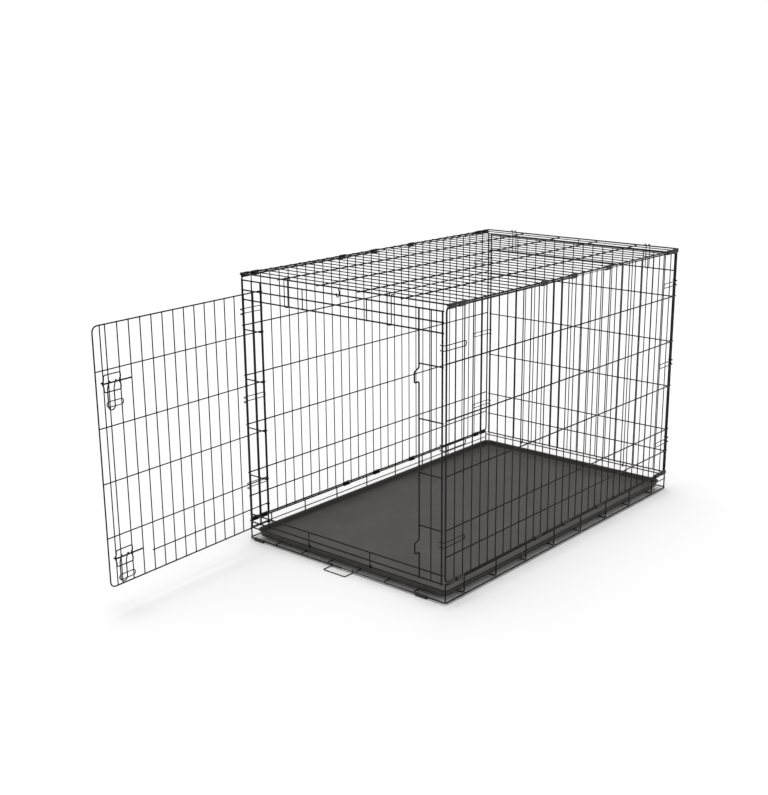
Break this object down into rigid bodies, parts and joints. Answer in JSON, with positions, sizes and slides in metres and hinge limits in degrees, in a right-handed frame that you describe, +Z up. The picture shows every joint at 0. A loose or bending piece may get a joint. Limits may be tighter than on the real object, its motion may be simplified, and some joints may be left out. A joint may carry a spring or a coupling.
{
  "type": "wire dog crate",
  "caption": "Folding wire dog crate with a swinging front door, slide-bolt latches, hinged panels joined by clips, and a slide-out plastic floor pan with a stop.",
  "frame": {"origin": "centre of the pan's floor, on its upper face", "axes": "+Z up, +X to the right of a person facing the door, -Y towards that person, out of the doorway"},
  "size_m": [0.775, 1.847, 0.8354],
  "materials": {
    "black_wire": "satin black electro-coated steel wire",
    "latch_wire": "satin black electro-coated steel wire, rubbed where it slides",
    "pan_plastic": "fine-grained black polypropylene sheet",
    "clip_plastic": "matt black moulded plastic",
    "foot_rubber": "matt black rubber sleeve"
  },
  "bodies": {
    "cage": {"base_floor": "black_wire", "base_left_upstand": "black_wire", "base_right_upstand": "black_wire", "base_front_wire": "black_wire", "base_rear_wire": "black_wire", "left_side_panel": "black_wire", "right_side_panel": "black_wire", "top_panel": "black_wire", "front_header": "black_wire", "front_sill": "black_wire", "front_hinge_column": "black_wire", "front_latch_column": "black_wire", "front_latch_jamb": "black_wire", "left_top_clip_1": "clip_plastic", "left_top_clip_2": "clip_plastic", "left_top_clip_3": "clip_plastic", "left_top_clip_4": "clip_plastic", "left_top_clip_5": "clip_plastic", "left_top_clip_6": "clip_plastic", "left_top_clip_7": "clip_plastic", "left_base_clip_1": "clip_plastic", "left_base_clip_2": "clip_plastic", "left_base_clip_3": "clip_plastic", "left_base_clip_4": "clip_plastic", "left_base_clip_5": "clip_plastic", "left_base_clip_6": "clip_plastic", "left_base_clip_7": "clip_plastic", "right_top_clip_1": "clip_plastic", "right_top_clip_2": "clip_plastic", "right_top_clip_3": "clip_plastic", "right_top_clip_4": "clip_plastic", "right_top_clip_5": "clip_plastic", "right_top_clip_6": "clip_plastic", "right_top_clip_7": "clip_plastic", "right_base_clip_1": "clip_plastic", "right_base_clip_2": "clip_plastic", "right_base_clip_3": "clip_plastic", "right_base_clip_4": "clip_plastic", "right_base_clip_5": "clip_plastic", "right_base_clip_6": "clip_plastic", "right_base_clip_7": "clip_plastic", "front_foot_left": "foot_rubber", "front_foot_right": "foot_rubber", "rear_foot_left": "foot_rubber", "rear_foot_right": "foot_rubber"},
    "rear_panel": {"rear_panel": "black_wire"},
    "door": {"door": "black_wire", "upper_bolt_guide": "black_wire", "lower_bolt_guide": "black_wire"},
    "upper_bolt": {"upper_bolt": "latch_wire"},
    "upper_handle": {"upper_bolt_handle": "latch_wire"},
    "lower_bolt": {"lower_bolt": "latch_wire"},
    "lower_handle": {"lower_bolt_handle": "latch_wire"},
    "pan": {"pan": "pan_plastic", "pan_front_rim": "pan_plastic", "pan_rear_rim": "pan_plastic", "pan_left_rim": "pan_plastic", "pan_right_rim": "pan_plastic"},
    "pan_stop": {"pan_stop": "black_wire"}
  },
  "joints": [
    {"name": "door_hinge", "type": "hinge", "parent": "cage", "child": "door", "pos_m": [-0.297, -0.6153, 0.4], "axis": [0, 0, 1], "range_deg": [-68, 86.8]},
    {"name": "upper_bolt_slide", "type": "slide", "parent": "door", "child": "upper_bolt", "axis": [0.0558, -0.9984, 0], "range_m": [-0.009, 0.017]},
    {"name": "upper_handle_swing", "type": "hinge", "parent": "upper_bolt", "child": "upper_handle", "pos_m": [-0.27841, -1.16011, 0.6156], "axis": [-0.0558, 0.9984, 0], "range_deg": [0, 100]},
    {"name": "lower_bolt_slide", "type": "slide", "parent": "door", "child": "lower_bolt", "axis": [0.0558, -0.9984, 0], "range_m": [-0.009, 0.017]},
    {"name": "lower_handle_swing", "type": "hinge", "parent": "lower_bolt", "child": "lower_handle", "pos_m": [-0.27841, -1.16011, 0.1356], "axis": [-0.0558, 0.9984, 0], "range_deg": [0, 100]},
    {"name": "pan_slide", "type": "slide", "parent": "cage", "child": "pan", "axis": [0, -1, 0], "range_m": [0, 1.15]},
    {"name": "pan_stop_turn", "type": "hinge", "parent": "cage", "child": "pan_stop", "pos_m": [0, -0.61205, -0.0084], "axis": [1, 0, 0], "range_deg": [-90, 0]},
    {"name": "rear_panel_fold", "type": "hinge", "parent": "cage", "child": "rear_panel", "pos_m": [0, 0.61205, 0.0356], "axis": [1, 0, 0], "range_deg": [0, 90]}
  ]
}
